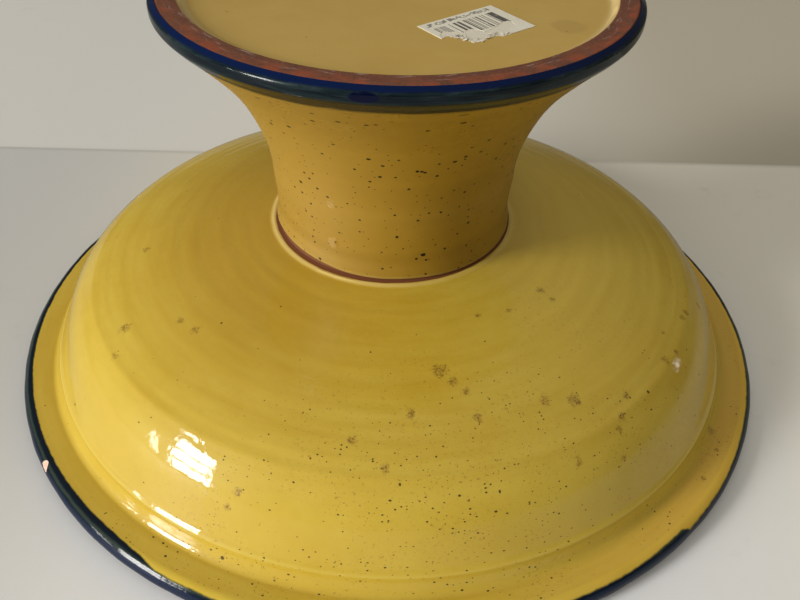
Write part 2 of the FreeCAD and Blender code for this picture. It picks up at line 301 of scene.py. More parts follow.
def bowl_section(step):
    """From the crown over the outside to the lip's seat, then back inside to the crown."""
    crown_centre = np.array([0, CROWN_HEIGHT - CROWN_RADIUS])
    shoulder = shoulder_centre()
    toward = shoulder - crown_centre
    steep = math.degrees(math.atan2(toward[1], toward[0]))
    facing = 90 - WALL_ANGLE
    outer = arc(crown_centre, CROWN_RADIUS, 90, steep, step)
    outer_turn = arc(shoulder, SHOULDER_RADIUS, steep, facing, step)
    inner_turn = arc(shoulder, SHOULDER_RADIUS - CLAY_WALL, facing, steep, step)
    inner = arc(crown_centre, CROWN_RADIUS - CLAY_WALL, steep, 90, 4 * step)
    lean = math.radians(WALL_ANGLE)
    mouth = WALL_FOOT - CLAY_WALL / math.sin(lean) + (BRIM_HEIGHT - BRIM_UNDER) / math.tan(lean)
    rim = path([
        (*outer_turn[-1], 0),
        (WALL_FOOT, BRIM_HEIGHT, BRIM_ROOT_ROUND),
        (LIP_SEAT, BRIM_HEIGHT, 0),
        (LIP_SEAT, BRIM_UNDER, 0),
        (mouth, BRIM_UNDER, MOUTH_ROUND),
        (*inner_turn[0], 0),
    ], step=0.75)
    outer[0, 0] = 0
    inner[-1, 0] = 0
    return joined([outer, outer_turn, rim, inner_turn, inner])


def bowl_relief(radius, height, turn, up):
    """Throwing rings, the bead round the wall's foot and the roll of glaze beside the seam."""
    along = radius + 0.5 * height + 1.2 * np.sin(turn) + 0.6 * np.sin(2 * turn + 1)
    calm = fade(radius, 60, 72) * fade(radius, 172, 164)
    lift = waves(DOME_RINGS, along) * calm * (0.75 + 0.25 * np.sin(turn * 3 + radius / 9))
    lift = lift + BEAD_RELIEF * bump(height - BEAD_HEIGHT, BEAD_WIDTH) * (radius > 150)
    for middle, relief, width in SHOULDER_RINGS:
        lift = lift + relief * bump(radius - middle, width)
    beside = radius - around(SEAM_EDGE, 2, turn)
    lift = lift + GLAZE_ROLL * bump(beside - 1.1, 0.9) - GLAZE_GROOVE * bump(np.minimum(beside + 0.8, 0), 0.6)
    lift = np.where(radius < 56, 0, lift)
    inside = waves(STEM_RINGS, radius + 0.3 * height) * fade(radius, 160, 130) * fade(radius, 0, 20)
    flat = (radius > 176) | (height < BRIM_UNDER + 0.2)
    return np.where(flat, 0, np.where(up > 0, lift, inside))


def lip_relief(radius, height, turn, up):
    """A chip at the left, and glaze of uneven thickness that stays inside the turned line."""
    along = np.degrees(turn) - CHIP_ANGLE
    rough = 0.8 + 0.25 * np.sin(along * 7 + height * 3) + 0.15 * np.sin(along * 17 - height * 5)
    reach = (np.radians(along) * RIM_RADIUS / CHIP_LENGTH) ** 2 + ((height - CHIP_HEIGHT) / CHIP_RISE) ** 2
    chip = np.clip(1.25 - reach, 0, 1) ** 0.7 * rough * CHIP_DEPTH
    skin = 0.06 * (1 + np.sin(turn * 23 + 2 * np.sin(turn * 7))) + 0.05 * (1 + np.sin(turn * 61))
    outside = fade(radius, LIP_SEAT + 0.4, LIP_SEAT + 2.4) * fade(height, 0, 2)
    return -(np.where(radius > 185.5, chip, 0) + skin * outside)


def stem_section(step):
    """The outside from the flare down to the seam, and the hollow from the seam up to the flare."""
    taper, flare = math.radians(STEM_TAPER), math.radians(FLARE_ANGLE)
    spread = SEAM_RADIUS - RING_OUTER + (FOOT_UNDER - STEM_BASE) * math.tan(flare)
    rise = spread / (math.tan(flare) - math.tan(taper))
    knee = (SEAM_RADIUS + rise * math.tan(taper), STEM_BASE + rise)
    half, lean = (flare - taper) / 2, (flare + taper) / 2
    depth = STEM_WALL / math.cos(half)
    inner_knee = (knee[0] - depth * math.cos(lean), knee[1] + depth * math.sin(lean))
    outside = path([
        (RING_OUTER, FOOT_UNDER, 0),
        (*knee, FLARE_RADIUS),
        (SEAM_RADIUS, STEM_BASE, 0),
    ], step=step)
    inside = path([
        (SEAM_RADIUS - STEM_WALL / math.cos(taper), STEM_BASE, 0),
        (*inner_knee, INNER_FLARE_RADIUS),
        (RING_OUTER - STEM_WALL / math.cos(flare), FOOT_UNDER, 0),
    ], step=4 * step)
    return outside, inside


def pedestal():
    """The stem, with the lower edge of its glaze standing off the bare clay at an uneven height."""
    outside, inside = stem_section(step=1.1)
    turn = angles(count=420, fine=[(BLISTER_ANGLE, 4, 0.25)])
    edge = around(SEAM_EDGE, 1, turn)[:, None]
    down = (FOOT_UNDER - outside[:, 1]) / (FOOT_UNDER - STEM_BASE)
    height = outside[:, 1] + (edge - STEM_BASE) * fade(down, 0.6, 1.0) ** 2
    above = height - edge
    radius = outside[:, 0] + waves(STEM_RINGS, height + 0.8 * np.sin(turn)[:, None]) * fade(height, 176, 164)
    radius = radius - STEM_TRIM * np.exp(-((height - TRIM_HEIGHT) / TRIM_REACH) ** 4)
    radius = radius + WAIST_RELIEF * (bump(above, BASE_REACH) - bump(height - WAIST_HEIGHT, WAIST_REACH))
    radius = radius - GLAZE_EDGE * fade(above, GLAZE_EDGE_ROUND, 0) ** 2
    beside = (np.degrees(turn)[:, None] - BLISTER_ANGLE) * STEM_MM_PER_DEGREE
    blister = bump(beside, BLISTER_WIDTH) * bump(height - BLISTER_HEIGHT, BLISTER_RISE)
    radius = radius + BLISTER_RELIEF * blister
    clay = np.full_like(edge, CLAY_RADIUS)
    grid = np.concatenate([
        np.stack([radius, height], 2),
        np.stack([clay, edge + GLAZE_STANDOFF], 2),
        np.stack([clay, np.full_like(edge, STEM_BASE)], 2),
        np.repeat(inside[None], len(turn), 0),
    ], 1)
    return swept("pedestal", grid, turn)


def grain(turn, along, seed):
    """A rough, repeatable wave for unglazed clay."""
    draw = np.random.default_rng(seed)
    count = 7
    total = 0
    for _ in range(count):
        round_wave = turn * draw.integers(20, 240)
        total = total + np.sin(round_wave + along * draw.uniform(0.5, 4) + draw.uniform(0, 6.28))
    return total / count


def ring_relief(radius, height, turn, up):
    """Scuffs and small nicks in the bare foot."""
    worn = 0.05 + 0.07 * grain(turn, radius, 5)
    nicks = np.clip(grain(turn, radius * 0.6, 9) - 0.45, 0, 1)
    return np.where(up > 0.3, -np.abs(worn + 0.08 * nicks), 0)


# Mixing glazes

def sums(operation, flipped=False):
    """A method of a wire that adds the node for one operation."""
    def method(self, *others):
        values = (*others, self) if flipped else (self, *others)
        return self.recipe.node("ShaderNodeMath", {"operation": operation}, dict(enumerate(values)))
    return method


class Wire:
    """One output of a node. Sums and comparisons on it add the nodes that work them out."""

    def __init__(self, recipe, socket):
        self.recipe = recipe
        self.socket = socket

    __add__ = __radd__ = sums("ADD")
    __sub__ = sums("SUBTRACT")
    __rsub__ = sums("SUBTRACT", flipped=True)
    __mul__ = __rmul__ = sums("MULTIPLY")
    __truediv__ = sums("DIVIDE")
    __rtruediv__ = sums("DIVIDE", flipped=True)
    __pow__ = sums("POWER")
    __gt__ = sums("GREATER_THAN")
    __lt__ = sums("LESS_THAN")
    __abs__ = sums("ABSOLUTE")
    sine = sums("SINE")
    floor = sums("FLOOR")
    least = sums("MINIMUM")
    most = sums("MAXIMUM")
    angle_over = sums("ARCTAN2")

    def of(self, output):
        """Another output of the same node."""
        return Wire(self.recipe, self.socket.node.outputs[output])

    def cells(self, size):
        """Whole numbers that count the cells of a size."""
        return (self / size).floor()

    def sway(self, size):
        """A noise as a move to either side, of half the size at most."""
        return (self - 0.5) * size

    def rise(self, low, high):
        """Smoothly from 0 at low to 1 at high, either way round."""
        flip = low > high
        ends = {"From Min": min(low, high), "From Max": max(low, high)}
        levels = {"To Min": float(flip), "To Max": float(not flip)}
        settings = {"interpolation_type": "SMOOTHSTEP"}
        return self.recipe.node("ShaderNodeMapRange", settings, {"Value": self, **ends, **levels})

    def near(self, middle, width):
        """1 at the middle and 0 a width away from it."""
        return abs(self - middle).rise(width, 0)

    def between(self, low, high, soft=0.2):
        """1 from low to high, with soft ends."""
        return self.rise(low, low + soft) * self.rise(high, high - soft)


class Bench:
    """A node tree to work on."""

    def __init__(self, owner):
        owner.use_nodes = True
        self.tree = owner.node_tree
        self.tree.nodes.clear()
        self.colour = None

    def node(self, kind, settings=None, sockets=None, out=0):
        """Any node: its settings first, then the values or wires of its sockets."""
        made = self.tree.nodes.new(kind)
        for name, value in (settings or {}).items():
            if name == "stops":
                self.stops(made.color_ramp, value)
            else:
                setattr(made, name, value)
        for name, value in (sockets or {}).items():
            if isinstance(value, Wire):
                self.tree.links.new(value.socket, made.inputs[name])
            else:
                made.inputs[name].default_value = value
        return Wire(self, made.outputs[out])

    def stops(self, ramp, stops):
        """A grey level at each position of a ramp."""
        while len(ramp.elements) < len(stops):
            ramp.elements.new(1.0)
        for element, (position, level) in zip(ramp.elements, stops):
            element.position = position
            element.color = (level, level, level, 1)

    def mix(self, amount, under, over):
        return self.node("ShaderNodeMix", {"data_type": "RGBA"}, {0: amount, 6: under, 7: over}, 2)

    def lay(self, over, amount):
        """Another colour, laid over the colour so far."""
        self.colour = self.mix(amount, self.colour, over)

    def end(self, kind, shader):
        """The output of the tree."""
        output = self.tree.nodes.new(kind)
        self.tree.links.new(shader.socket, output.inputs[0])


class Recipe(Bench):
    """A finish being mixed, with its places in millimetres."""

    def __init__(self, name):
        self.material = bpy.data.materials.new(name)
        super().__init__(self.material)
        self.point = self.node("ShaderNodeVectorMath", {"operation": "SCALE"}, {
            0: self.node("ShaderNodeTexCoord", out="Object"),
            "Scale": 1 / MM,
        })
        self.x = self.node("ShaderNodeSeparateXYZ", {}, {0: self.point})
        self.y, self.z = self.x.of(1), self.x.of(2)
        self.flat = self.sheet(self.x, self.y)
        self.radius = self.node("ShaderNodeVectorMath", {"operation": "LENGTH"}, {0: self.flat}, "Value")
        self.turn = self.y.angle_over(self.x)

    def sheet(self, across, up):
        """A flat place from two wires, such as a wall unrolled."""
        return self.node("ShaderNodeCombineXYZ", {}, {0: across, 1: up})

    def noise(self, size, detail=3.0, rough=0.55, shift=0.0, place=None):
        """Clouds of about a size, moved by a shift to look different."""
        place = self.point if place is None else place
        if shift:
            place = self.node("ShaderNodeVectorMath", {}, {0: place, 1: (shift, shift * 2, -shift)})
        sockets = {"Vector": place, "Scale": 1 / size, "Detail": detail, "Roughness": rough}
        return self.node("ShaderNodeTexNoise", {}, sockets)

    def far(self, place):
        """Distance from a place, on the flat for two numbers and in space for three."""
        start = self.point if len(place) == 3 else self.flat
        end = (*place, 0)[:3]
        return self.node("ShaderNodeVectorMath", {"operation": "DISTANCE"}, {0: start, 1: end}, "Value")

    def table(self, rows, column):
        """A table of angles as a wire, by a ramp over one turn."""
        low = min(row[column] for row in rows)
        high = max(row[column] for row in rows)
        stops = [((row[0] + 180) / 360, (row[column] - low) / (high - low)) for row in rows]
        share = (self.turn + math.pi) / (2 * math.pi)
        return self.node("ShaderNodeValToRGB", {"stops": stops}, {0: share}) * (high - low) + low

    def rings(self, table, along):
        """The throwing rings as a wire from about -1 to 1."""
        total = sum(height for length, height, phase in table)
        wave = 0
        for length, height, phase in table:
            wave = (along * (2 * math.pi / length) + phase).sine() * (height / total) + wave
        return wave

    def oval(self, angle, height, radius, length, rise):
        """1 on the line of an oval on a round wall, less inside it, from half its length and height."""
        along = (self.turn - math.radians(angle)) * (radius / length)
        up = (self.z - height) / rise
        return along * along + up * up

    def specks(self, place, cell, sizes, share):
        """Dark iron specks on a flat place: the share of cells that have one, and its least and most size."""
        settings = {"voronoi_dimensions": "2D"}
        spots = self.node("ShaderNodeTexVoronoi", settings, {"Vector": place, "Scale": 1 / cell})
        draw = self.node("ShaderNodeSeparateColor", {}, {0: spots.of("Color")})
        smallest, largest = sizes
        reach = (draw ** 3.5 * (largest - smallest) + smallest) * (0.6 + self.noise(0.9) * 0.8)
        return (reach - spots * cell).rise(-0.08, 0.08) * (draw.of(1) < share)

    def spotted(self, specks, spots):
        """Specks, with larger ones added at given places."""
        for *place, size in spots:
            specks = specks.most(self.far(place).rise(size, size * 0.6))
        return specks

    def marks(self, spots, ragged):
        """Ragged stains at given places, as the nearest distance over each one's size."""
        nearest = None
        for *place, size in spots:
            share = self.far(place) / (size * 1.35)
            nearest = share if nearest is None else nearest.least(share)
        return nearest + ragged.sway(2.4)

    def surface(self, roughness, height, depth, **sockets):
        """The shader and the output, with a bump of a depth in millimetres."""
        values = {"Base Color": self.colour, "Roughness": roughness}
        for name, value in sockets.items():
            values[name.replace("_", " ")] = value
        relief = {"Height": height, "Strength": 1.0, "Distance": depth * MM}
        values["Normal"] = self.node("ShaderNodeBump", {}, relief)
        shader = self.node("ShaderNodeBsdfPrincipled", {}, values)
        self.end("ShaderNodeOutputMaterial", shader)
        return self.material

    def glazed(self, bare, height, depth, blur, haze, gloss):
        """A glassy skin over the colour that stops where the clay is bare, with a wide soft haze."""
        rough = bare * 0.65 + blur
        coat = {"Coat_Weight": (1 - bare) * haze, "Coat_Roughness": 0.5} if haze else {}
        return self.surface(rough, height, depth, Specular_IOR_Level=gloss, **coat)


def paint(red, green, blue):
    """A colour as it looks on a screen, 0 to 255, as light."""
    def light(level):
        level /= 255
        return level / 12.92 if level <= 0.04045 else ((level + 0.055) / 1.055) ** 2.4
    return light(red), light(green), light(blue), 1.0


# Yellow glazes, some carrying painted light and shade
YELLOW = paint(203, 170, 52)
PALE_YELLOW = paint(213, 187, 78)
DEEP_YELLOW = paint(186, 150, 32)
SHADED_YELLOW = paint(164, 127, 28)
PAINTED_LIGHT_YELLOW = paint(226, 195, 80)
WARM_YELLOW = paint(226, 172, 72)
OCHRE = paint(163, 126, 28)
DEEP_OCHRE = paint(142, 106, 12)
PAINTED_LIGHT_OCHRE = paint(168, 134, 56)
CREAM = paint(234, 208, 128)
PLATE_YELLOW = paint(208, 175, 98)
DEEP_PLATE_YELLOW = paint(193, 158, 78)
COVE_YELLOW = paint(226, 204, 150)
SMUDGE = paint(140, 112, 66)
STAIN = paint(122, 84, 30)
IRON = paint(18, 9, 3)

# Blue glazes
NAVY = paint(3, 22, 62)
STREAKED_NAVY = paint(14, 34, 54)
DAB_BLUE = paint(0, 6, 37)
INK = paint(12, 22, 34)
SEA_GREY = paint(56, 68, 58)
OLIVE = paint(60, 58, 26)
DARK_OLIVE = paint(24, 25, 10)
DARK_TEAL = paint(12, 22, 26)
THIN_BLUE = paint(6, 18, 26)
THIN_GREY = paint(30, 44, 46)
RUBBED_BLUE = paint(90, 104, 104)

# Clay
BARE_CLAY = paint(118, 66, 34)
CHIPPED_CLAY = paint(206, 160, 132)
CHALKY_CHIP = paint(238, 214, 196)
SEAM_DARK = paint(100, 56, 26)
SEAM_LIGHT = paint(132, 82, 46)
FOOT_DARK = paint(98, 58, 40)
FOOT_LIGHT = paint(128, 74, 48)
FIRED_RED = paint(150, 72, 38)
CHALK = paint(176, 154, 144)
GLAZE_RIM = paint(192, 160, 96)
BURNT_CLAY = paint(84, 46, 34)

# Brown stains on the bowl: a place on the flat or in space, and a size
DOME_STAINS = [(-121.2, -17.1, 2.4), (-120.7, -84.3, 2.4), (-14.1, -134.4, 2.6), (-0.9, -145.0, 2.2),
               (21.0, -103.3, 4.0), (31.5, -112.0, 2.2), (9.0, -123.0, 2.4), (64.4, -112.3, 2.8),
               (77.3, -110.2, 3.6), (101.1, -103.0, 2.4), (-85.3, -78.4, 2.6), (-93.3, -71.5, 2.0),
               (67.7, -54.3, 2.4), (73.0, -58.5, 1.8), (36.0, -123.0, 2.4), (141.0, -45.0, 2.2),
               (96.0, -118.0, 2.0), (77.0, -134.0, 2.0), (-58.6, -148.3, 41.7, 2.6),
               (-62.8, -150.7, 34.7, 1.8), (38.0, -74.0, 1.8), (52.0, -69.0, 1.6), (26.0, -108.0, 2.6),
               (-119.2, -69.9, 3.2), (138.3, -50.0, 52.8, 2.0), (152.0, -32.8, 46.3, 2.2),
               (125.0, -63.8, 1.4), (123.4, -79.5, 2.4), (129.8, -72.8, 1.5), (97.6, -113.2, 51.4, 2.2),
               (97.8, -126.5, 41.0, 2.0), (153.1, -82.9, 11.5, 2.6), (153.0, -94.5, 1.5),
               (142.1, -111.1, 1.6)]

# Larger iron spots on the bowl and on the stem, in the same form
BOWL_SPOTS = [(-65.6, -159.5, 13.7, 1.1), (111.5, -98.6, 0.8), (5.0, -150.2, 0.6), (44.0, -149.0, 0.6),
              (-30.0, -141.0, 0.5), (19.0, -140.0, 0.5)]
STEM_SPOTS = [(9.4, -64.6, 138.0, 1.0), (11.2, -64.2, 137.7, 0.9), (34.0, -48.6, 116.1, 1.1),
              (33.7, -45.4, 88.6, 1.0), (2.0, -57.0, 100.6, 0.9), (-25.4, -51.0, 92.7, 1.1)]

# Where the stem's glaze is smooth enough to mirror the window
SLICK_SPOTS = [(-27.5, -53.0, 113.0), (-26.2, -50.2, 91.5)]


def pooled_yellow(mix, fine):
    """Brushed yellow, deeper where it pooled, with painted shade on the left of the crown and painted light
    on its right.
    """
    cloud = mix.noise(46, 3)
    along = mix.turn.sine() * 1.2 + mix.radius + mix.z * 0.5
    rings = mix.rings(DOME_RINGS, along) * mix.radius.rise(60, 74)
    brushed = mix.noise(5.5, 4, 0.6, shift=6.0, place=mix.sheet(mix.turn * 14, along))
    pooled = 0.46 + rings * 0.08 + brushed.sway(0.9) + cloud.sway(0.6) + fine.sway(0.2)
    mix.colour = mix.mix(pooled.rise(0.0, 1.0), PALE_YELLOW, DEEP_YELLOW)
    mix.lay(YELLOW, 0.4)
    # Painted shade on the crown's left and painted light on its right
    crown = mix.radius.rise(145, 85)
    mix.lay(SHADED_YELLOW, crown * mix.x.rise(30, -50) * 0.6)
    mix.lay(PAINTED_LIGHT_YELLOW, crown * mix.x.rise(30, 90) * 0.6)
    warm_brim(mix)
    # Deeper yellow along the crease at the wall's foot
    root = mix.radius.near(WALL_FOOT + 1.6, 3.2) * mix.z.rise(22, 12)
    mix.lay(DEEP_YELLOW, root * 0.4)
    crest = mix.z.near(BEAD_HEIGHT + 0.4, 1.3) * mix.radius.rise(160, 164)
    mix.lay(PALE_YELLOW, crest * 0.5)


def warm_brim(mix):
    """The brim is a little more orange on the right."""
    mix.lay(WARM_YELLOW, mix.radius.rise(172, 177) * mix.x.rise(10, 150) * 0.36)


def bowl_stains(mix):
    """How much the bowl is stained: at known places, and in drifts over the front."""
    ragged = mix.noise(1.7, 5, 0.75)
    stained = mix.marks(DOME_STAINS, ragged).rise(0.75, 0.25)
    patches = mix.noise(30, 2, 0.5, shift=40.0).rise(0.4, 0.6)
    drift = patches * mix.noise(1.5, 4, 0.7, shift=7.0).rise(0.57, 0.68)
    front = (mix.x * 0.5 - mix.y).rise(50, 120)
    return stained.most(drift * front * 0.7)


def bowl_specks(mix):
    """Iron specks, crowded in patches low on the front."""
    wall = mix.sheet(mix.turn * 150, mix.radius - mix.z)
    front = (mix.x * 0.2 - mix.y).rise(85, 150)
    low = mix.noise(40, 2, 0.5, shift=90.0).rise(0.3, 0.6) * front
    crowd = mix.noise(11, 2, 0.5, shift=51.0).rise(0.4, 0.62) * low
    small = mix.specks(wall, 2.3, (0.08, 0.5), crowd * 0.7 + low * 0.08 + 0.006)
    large = mix.specks(wall, 13.0, (0.2, 0.65), low * 0.5 + 0.08)
    return mix.spotted(small.most(large), BOWL_SPOTS)


def yellow_bowl():
    """Yellow glaze over thrown rings, speckled with iron, stained, and blue at the lip."""
    mix = Recipe("yellow_bowl_glaze")
    fine = mix.noise(5, 4, 0.6)
    pooled_yellow(mix, fine)
    stained = bowl_stains(mix)
    flecks = mix.noise(0.9, 3, 0.6, shift=19.0).rise(0.46, 0.6)
    mix.lay(STAIN, stained * (flecks * 0.55 + 0.3))
    mix.lay(IRON, bowl_specks(mix) * 0.85)
    beside = mix.radius - mix.table(SEAM_EDGE, 2) + mix.noise(7, 2).sway(0.5)
    # The pale roll of thin glaze beside the seam, with painted light on it that is strongest on the left
    roll = beside.near(1.3, 2.0)
    mix.lay(CREAM, roll * (mix.x.rise(45, -25) * 0.5 + 0.3))
    bare = beside.rise(0.2, -0.15) * mix.z.rise(73, 75)
    mix.lay(BARE_CLAY, bare)
    blue_lip(mix)
    height = fine * 0.8 + mix.noise(16, 2) * 0.6 + mix.noise(2.4, 2, 0.5, shift=3.0) * 0.9
    return mix.glazed(bare.most(stained * 0.25), height, depth=0.06, blur=0.045, haze=0.4, gloss=0.5)


def blue_lip(mix):
    """Blue brushed round the lip, thin and greenish over the crest."""
    beyond = mix.radius - (mix.table(BLUE_EDGE, 1) + mix.noise(4, 3).sway(0.9))
    rim = mix.radius.rise(LIP_SEAT - 4.4, LIP_SEAT - 3.4)
    low = mix.z.rise(6.5, 4.5).most(mix.radius.rise(RIM_RADIUS - 0.8, RIM_RADIUS - 0.3))
    streak = mix.noise(9, 3, 0.6, shift=13.0)
    crest = (mix.radius + streak.sway(1.2)).near(RIM_RADIUS - 2.3, 1.1)
    coat = mix.mix(crest * 0.8, INK, SEA_GREY)
    side = mix.radius.rise(RIM_RADIUS - 1.6, RIM_RADIUS - 0.6)
    coat = mix.mix(side * 0.85, coat, mix.mix(streak, NAVY, STREAKED_NAVY))
    mix.lay(OLIVE, beyond.near(0.0, 0.5) * rim * 0.5)
    mix.lay(coat, beyond.rise(-0.15, 0.35).most(low) * rim)


def lip_glaze():
    """The blue lip, with pale clay in its chip and bare clay where it stands."""
    mix = Recipe("blue_lip_glaze")
    fine = mix.noise(3, 4, 0.6)
    mix.colour = mix.mix(mix.noise(40, 3), PALE_YELLOW, YELLOW)
    warm_brim(mix)
    blue_lip(mix)
    reach = mix.oval(CHIP_ANGLE, CHIP_HEIGHT, RIM_RADIUS, CHIP_LENGTH, CHIP_RISE) + fine.sway(0.5)
    chip = reach.rise(1.12, 0.98)
    mix.lay(mix.mix(fine, CHIPPED_CLAY, CHALKY_CHIP), chip)
    halo = reach.rise(1.5, 1.15) * (1 - chip)
    mix.lay(IRON, halo * 0.4)
    worn = mix.z.rise(1.6, 0.2)
    mix.lay(BARE_CLAY, worn * 0.8)
    return mix.glazed(chip.most(worn), fine, depth=0.06, blur=0.1, haze=0.05, gloss=0.3)


def stem_glaze():
    """Ochre yellow on the stem with painted light on its left side, full of iron specks, blue where the
    foot's band runs over.
    """
    mix = Recipe("ochre_stem_glaze")
    fine = mix.noise(4, 4, 0.6)
    rings = mix.rings(STEM_RINGS, mix.z + mix.turn.sine() * 0.8)
    pooled = 0.45 + rings * 0.08 + mix.noise(38, 3).sway(0.8) + fine.sway(0.2)
    mix.colour = mix.mix(pooled.rise(0.0, 1.0), OCHRE, DEEP_OCHRE)
    # Painted light: the stem's left side is painted paler
    mix.lay(PAINTED_LIGHT_OCHRE, mix.x.rise(30, -45) * 0.75)
    above = mix.z - mix.table(SEAM_EDGE, 1) + mix.noise(6, 2).sway(0.4)
    mix.lay(CREAM, above.near(0.8, 1.4) * 0.2)
    mix.lay(DEEP_OCHRE, above.near(9.5, 5) * 0.3)
    wall = mix.sheet(mix.turn * 42, mix.z)
    crowd = mix.noise(22, 2, 0.5, shift=17.0).rise(0.3, 0.6) * 0.4 + 0.12
    small = mix.specks(wall, 3.6, (0.2, 0.62), crowd)
    large = mix.specks(wall, 11.0, (0.4, 0.95), 0.4)
    specks = mix.spotted(small.most(large), STEM_SPOTS)
    mix.lay(IRON, specks * mix.z.rise(180, 172))
    patches = mix.noise(24, 2, 0.5, shift=11.0).rise(0.5, 0.62)
    rub = mix.noise(3, 3, 0.6, shift=5.0).rise(0.62, 0.7) * patches
    mix.lay(STAIN, rub * 0.25)
    mix.lay(OLIVE, (mix.z + fine.sway(1.0)).near(OVERRUN_EDGE - 0.1, 1.0) * 0.5)
    overrun = (mix.z + mix.noise(11, 3).sway(1.4)).rise(OVERRUN_EDGE, OVERRUN_EDGE + 0.6)
    thick = (mix.z + fine.sway(0.8)).rise(OVERRUN_EDGE + 0.9, OVERRUN_EDGE + 1.7)
    mix.lay(mix.mix(thick, DARK_OLIVE, DARK_TEAL), overrun)
    bare = above.rise(0.05, -0.25)
    mix.lay(BARE_CLAY, bare)
    slick = mix.noise(9, 3, 0.6, shift=27.0).rise(0.58, 0.7) * 0.5
    for place in SLICK_SPOTS:
        slick = slick.most(mix.far(place).rise(4.0, 1.5))
    height = fine * 0.6 + mix.noise(14, 2) * 0.4
    return mix.glazed(bare, height, depth=0.08, blur=0.45 - slick * 0.36, haze=0.3, gloss=0.22)


def seam_clay():
    """Dark gritty slip."""
    mix = Recipe("bare_seam_clay")
    grit = mix.noise(0.9, 4, 0.65)
    mix.colour = mix.mix(grit, SEAM_DARK, SEAM_LIGHT)
    return mix.surface(0.75 + grit.sway(0.2), grit, 0.15)


def plate_glaze():
    """Paler yellow glaze inside the foot, with painted light along the cove, and faint handling marks."""
    mix = Recipe("foot_plate_glaze")
    fine = mix.noise(5, 4, 0.6)
    tone = mix.noise(42, 3).sway(0.9) + 0.5 + fine.sway(0.15)
    mix.colour = mix.mix(tone.rise(0, 1), PLATE_YELLOW, DEEP_PLATE_YELLOW)
    # Painted light: paler along the cove by the ring
    mix.lay(COVE_YELLOW, mix.radius.rise(RING_INNER - 4.9, RING_INNER - 0.9) * 0.6)
    smudge = (mix.far((66, -38)) + mix.noise(6, 3).sway(5)).rise(8, 5)
    mix.lay(SMUDGE, smudge * 0.22)
    mix.lay(IRON, mix.specks(mix.flat, 11.0, (0.15, 0.4), 0.1) * 0.6)
    height = fine * 0.5 + mix.noise(18, 2) * 0.5
    return mix.glazed(smudge * 0.3, height, depth=0.05, blur=0.06, haze=0.2, gloss=0.5)


def foot_clay():
    """Bare red clay, orange outside and chalky with wear inside."""
    mix = Recipe("bare_foot_clay")
    grit = mix.noise(1.1, 4, 0.65)
    cloud = mix.noise(12, 3)
    mix.colour = mix.mix((grit * 0.6 + cloud * 0.4).rise(0.3, 0.7), FOOT_DARK, FOOT_LIGHT)
    inner = (mix.radius + cloud.sway(6)).rise(97.0, 92.5)
    fired = (1 - inner) * mix.noise(7, 3, 0.6, shift=21.0).rise(0.42, 0.6)
    mix.lay(FIRED_RED, fired * 0.8)
    streak = mix.noise(1.3, 4, 0.65, shift=3.0, place=mix.sheet(mix.turn * 16, mix.radius))
    chalk = streak.rise(0.55, 0.68) * (inner * 0.85 + 0.12)
    mix.lay(CHALK, chalk * 0.6)
    mix.lay(GLAZE_RIM, (mix.radius + grit.sway(0.6)).rise(RING_INNER + 0.8, RING_INNER + 0.3))
    burnt = mix.noise(5, 3, 0.6, shift=8.0).rise(0.6, 0.75)
    mix.lay(BURNT_CLAY, burnt * 0.5)
    return mix.surface(0.78 - chalk * 0.12, grit * 0.7 + streak * 0.3, 0.25)


def band_glaze():
    """Blue round the foot: full on the sloping top, thin and grey-green on the side."""
    mix = Recipe("blue_band_glaze")
    fine = mix.noise(3, 4, 0.6)
    streak = mix.noise(14, 3, 0.6)
    runs = mix.noise(1.6, 3, 0.6, shift=9.0, place=mix.sheet(mix.turn * 9, mix.z))
    thin = mix.mix(runs.rise(0.35, 0.7), THIN_BLUE, THIN_GREY)
    side = (mix.z + streak.sway(1.2)).rise(NAVY_EDGE, NAVY_EDGE - 0.8)
    mix.colour = mix.mix(side, NAVY, thin)
    under = (mix.z + fine.sway(0.8)).rise(FOOT_UNDER + 3.3, FOOT_UNDER + 1.3)
    mix.lay(DARK_TEAL, under * 0.85)
    dab = mix.oval(DAB_ANGLE, DAB_HEIGHT, FOOT_RADIUS, DAB_LENGTH, DAB_RISE) + fine.sway(0.5)
    mix.lay(DAB_BLUE, dab.rise(1.15, 0.8))
    worn = (mix.z + fine.sway(1.6)).near(NAVY_EDGE - 1.0, 0.7) * streak.rise(0.5, 0.7)
    mix.lay(RUBBED_BLUE, worn * 0.2)
    return mix.glazed(worn * 0.2, fine, depth=0.03, blur=0.07, haze=0.0, gloss=0.28)


# The paper label

LABEL_LENGTH = 37.6
LABEL_WIDTH = 25.6
LABEL_PAPER = 0.2
LABEL_CORNER = (23.6, -62.1)
LABEL_TURN = 38.2
TORN_EDGE = [(0, 11.2), (3.1, 12.4), (5.4, 8.8), (7.2, 6.3), (7.4, 1.6), (11.5, 1.2), (17.7, 2.4), (21.0, 0)]
PEELED_EDGE = [(1.6, 14.2), (4.6, 16.2), (8.4, 13.5), (10.8, 11.2), (14.0, 12.5), (16.9, 11.1), (17.6, 7.0),
               (21.5, 7.6), (24.8, 8.2), (30.4, 10.7), (33.0, 9.6), (32.3, 5.6), (24.0, 2.0)]
PEELED_END = (24.6, 0.0)
LABEL_GAP = 0.01
SKIN_GAP = 0.005
FIBRE_LENGTH = 0.5
FIBRE_REACH = 0.3
SHRED_COUNT = 30
SHRED_SHIFT = (0.6, 0.9)
SHRED_SPREAD = 0.8
SHRED_CORNERS = 7
SHRED_PAPER = 0.08
SHRED_LIFT = 0.05
SHRED_MARGIN = 0.3

# Printed bars and rows of dashes: their cells, and where they start and end across and up the label
BAR_CELL = 0.42
BARS_ACROSS = (3.2, 33.2)
BARS_UP = (8.6, 20.2)
DASH_CELL = (1.1, 0.7)
DASHES_ACROSS = (2, 34)
DASHES_UP = (21.8, 24.5)

PAPER_GREY = paint(214, 206, 184)
PAPER_WHITE = paint(236, 232, 218)
PEELED_TAN = paint(204, 193, 170)
PEELED_WHITE = paint(240, 234, 220)
PRINT_BLACK = paint(34, 34, 38)


